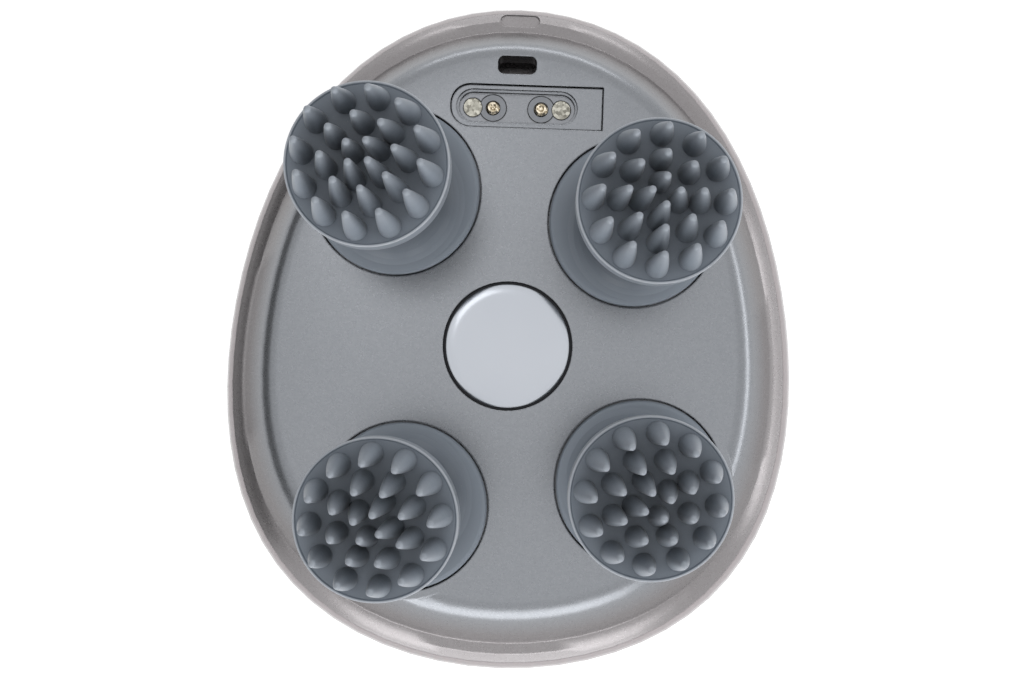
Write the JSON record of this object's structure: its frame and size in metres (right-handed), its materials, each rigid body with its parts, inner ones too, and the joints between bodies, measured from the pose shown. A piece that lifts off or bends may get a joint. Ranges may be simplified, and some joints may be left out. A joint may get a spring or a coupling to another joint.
{
  "type": "electric scalp massager",
  "caption": "Egg-shaped palm-held scalp massager with eccentric silicone heads turned by a hidden gear train, charging socket and power button.",
  "frame": {"origin": "centre of the bounding box on the resting plane, under the power button bezel in the middle of the domed palm shell", "axes": "+Z out of the face that carries the massage heads, +Y to the charging end, +X completes the right-handed frame"},
  "size_m": [0.094, 0.11, 0.0703],
  "materials": {
    "silver_paint": "satin metallic silver paint with fine flake",
    "pearl_shell": "pearly pinkish silver, glossy",
    "silicone": "matte slate blue-grey silicone",
    "seal_rubber": "black moulded rubber",
    "satin_label": "satin mirror-like blank disc",
    "steel": "bright steel",
    "gold_contact": "gold-plated",
    "socket_plastic": "grey moulded plastic",
    "nickel": "nickel-plated magnet",
    "inner_plastic": "off-white moulded plastic",
    "bronze": "sintered bronze",
    "motor_steel": "zinc-plated can",
    "black_plastic": "black moulded plastic",
    "battery_foil": "pouch foil",
    "foam": "foam pad",
    "board_green": "solder-masked board",
    "bezel_chrome": "polished bezel",
    "lead_rubber": "insulated wire",
    "plunger_plastic": "moulded plunger",
    "gear_plastic": "natural acetal",
    "brass_pinion": "machined brass"
  },
  "bodies": {
    "housing": {"palm_shell": "pearl_shell", "face_housing": "silver_paint", "rim_gasket": "seal_rubber", "label_disc": "satin_label", "centre_screw": "steel", "charge_socket": "silver_paint", "charge_contacts": "gold_contact", "contact_insulators": "socket_plastic", "charge_magnets": "nickel", "gear_tray": "inner_plastic", "tray_screws": "steel", "upper_bushings": "bronze", "lower_bushings": "bronze", "shaft_seals": "seal_rubber", "idler_pins": "steel", "compound_pin": "steel", "motor_can": "motor_steel", "motor_end_cap": "black_plastic", "motor_clamp": "inner_plastic", "clamp_screws": "steel", "battery_cell": "battery_foil", "battery_cradle": "inner_plastic", "battery_pad": "foam", "circuit_board": "board_green", "board_screws": "steel", "board_components": "black_plastic", "lead_connectors": "inner_plastic", "tact_switch": "black_plastic", "button_bezel": "bezel_chrome", "battery_lead": "lead_rubber", "motor_lead": "lead_rubber", "charge_lead": "lead_rubber"},
    "button": {"power_button": "pearl_shell"},
    "plunger": {"switch_plunger": "plunger_plastic"},
    "sun": {"sun_gear": "gear_plastic"},
    "compound": {"compound_gear": "gear_plastic"},
    "motor_rotor": {"motor_shaft": "steel", "motor_pinion": "brass_pinion"},
    "idler_front_body": {"idler_front": "gear_plastic"},
    "idler_rear_body": {"idler_rear": "gear_plastic"},
    "massager_front_left": {"head_front_left": "silicone", "core_front_left": "black_plastic", "shaft_front_left": "steel", "gear_front_left": "gear_plastic"},
    "massager_front_right": {"head_front_right": "silicone", "core_front_right": "black_plastic", "shaft_front_right": "steel", "gear_front_right": "gear_plastic"},
    "massager_rear_left": {"head_rear_left": "silicone", "core_rear_left": "black_plastic", "shaft_rear_left": "steel", "gear_rear_left": "gear_plastic"},
    "massager_rear_right": {"head_rear_right": "silicone", "core_rear_right": "black_plastic", "shaft_rear_right": "steel", "gear_rear_right": "gear_plastic"}
  },
  "joints": [
    {"name": "sun_spin", "type": "hinge", "parent": "housing", "child": "sun", "pos_m": [0, -0.0016, 0.03], "axis": [0, 0, 1], "continuous": true},
    {"name": "head_front_left_spin", "type": "hinge", "parent": "housing", "child": "massager_front_left", "pos_m": [-0.01786, 0.0215, 0.04], "axis": [0, 0, 1], "continuous": true},
    {"name": "head_front_right_spin", "type": "hinge", "parent": "housing", "child": "massager_front_right", "pos_m": [0.01852, 0.01791, 0.04], "axis": [0, 0, 1], "continuous": true},
    {"name": "head_rear_left_spin", "type": "hinge", "parent": "housing", "child": "massager_rear_left", "pos_m": [-0.01508, -0.0266, 0.04], "axis": [0, 0, 1], "continuous": true},
    {"name": "head_rear_right_spin", "type": "hinge", "parent": "housing", "child": "massager_rear_right", "pos_m": [0.0209, -0.02199, 0.04], "axis": [0, 0, 1], "continuous": true},
    {"name": "idler_front_spin", "type": "hinge", "parent": "housing", "child": "idler_front_body", "pos_m": [0.02335, 0.00182, 0.03], "axis": [0, 0, 1], "continuous": true},
    {"name": "idler_rear_spin", "type": "hinge", "parent": "housing", "child": "idler_rear_body", "pos_m": [-0.0216, -0.01112, 0.03], "axis": [0, 0, 1], "continuous": true},
    {"name": "compound_spin", "type": "hinge", "parent": "housing", "child": "compound", "pos_m": [0, -0.0244, 0.028], "axis": [0, 0, 1], "continuous": true},
    {"name": "motor_spin", "type": "hinge", "parent": "housing", "child": "motor_rotor", "pos_m": [0, -0.0094, 0.02], "axis": [0, 0, 1], "continuous": true},
    {"name": "button_press", "type": "slide", "parent": "housing", "child": "button", "axis": [0, 0, 1], "range_m": [0, 0.0004], "stiffness_N_per_m": 2500, "springref_m": -0.0006},
    {"name": "plunger_press", "type": "slide", "parent": "housing", "child": "plunger", "axis": [0, 0, 1], "range_m": [0, 0.0004]}
  ],
  "couplings": [
    {"joint": "head_front_left_spin", "follows": "sun_spin", "ratio": -1.6071},
    {"joint": "head_rear_right_spin", "follows": "sun_spin", "ratio": -1.6071},
    {"joint": "head_front_right_spin", "follows": "sun_spin", "ratio": 1.6071},
    {"joint": "head_rear_left_spin", "follows": "sun_spin", "ratio": 1.6071},
    {"joint": "idler_front_spin", "follows": "sun_spin", "ratio": -3.2143},
    {"joint": "idler_rear_spin", "follows": "sun_spin", "ratio": -3.2143},
    {"joint": "compound_spin", "follows": "sun_spin", "ratio": -3.75},
    {"joint": "motor_spin", "follows": "sun_spin", "ratio": 18.75},
    {"joint": "plunger_press", "follows": "button_press", "ratio": 1}
  ]
}
